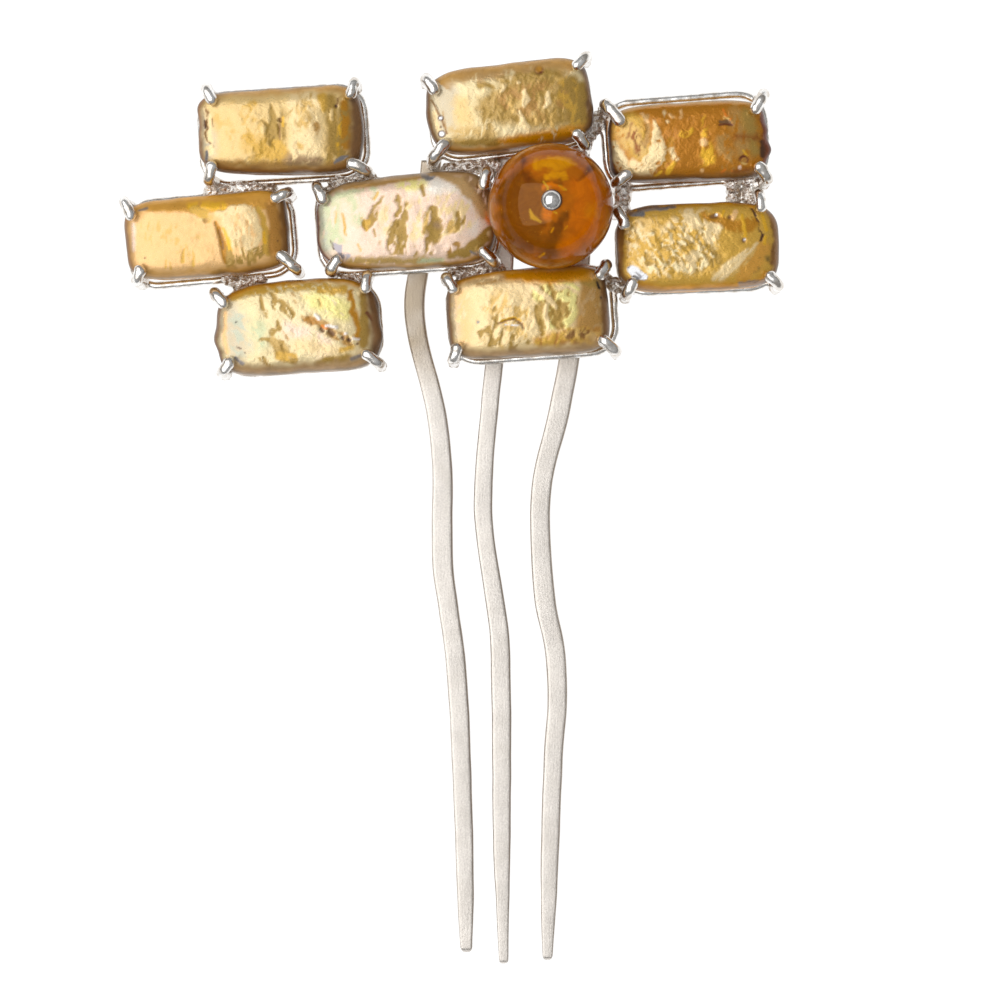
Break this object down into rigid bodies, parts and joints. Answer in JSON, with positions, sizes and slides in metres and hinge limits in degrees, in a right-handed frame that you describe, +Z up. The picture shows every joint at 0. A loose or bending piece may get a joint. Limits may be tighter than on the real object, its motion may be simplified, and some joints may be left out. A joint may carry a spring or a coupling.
{
  "type": "bun hairpin",
  "caption": "Hairpin with brick-shaped pearls in wire claw settings and a drilled amber ball, on a soldered silver frame with wavy tines.",
  "frame": {"origin": "middle of the bounding box in plan, on the plane of the tines' flat backs, which is the surface that the hairpin lies on", "axes": "+Y runs from the tips of the tines to the ornament, +X across the ornament to the right as it is seen from above, +Z up out of the ornament's face"},
  "size_m": [0.075, 0.1037, 0.018],
  "materials": {
    "silver": "satin silver wire, polished on the claws and rough at the solder",
    "polished_silver": "polished silver",
    "amber": null,
    "pearl": null
  },
  "bodies": {
    "root": {"silver_frame": "silver", "bead_pin": "polished_silver", "amber_ball": "amber", "pearl_1": "pearl", "pearl_2": "pearl", "pearl_3": "pearl", "pearl_4": "pearl", "pearl_5": "pearl", "pearl_6": "pearl", "pearl_7": "pearl", "pearl_8": "pearl"}
  },
  "joints": []
}
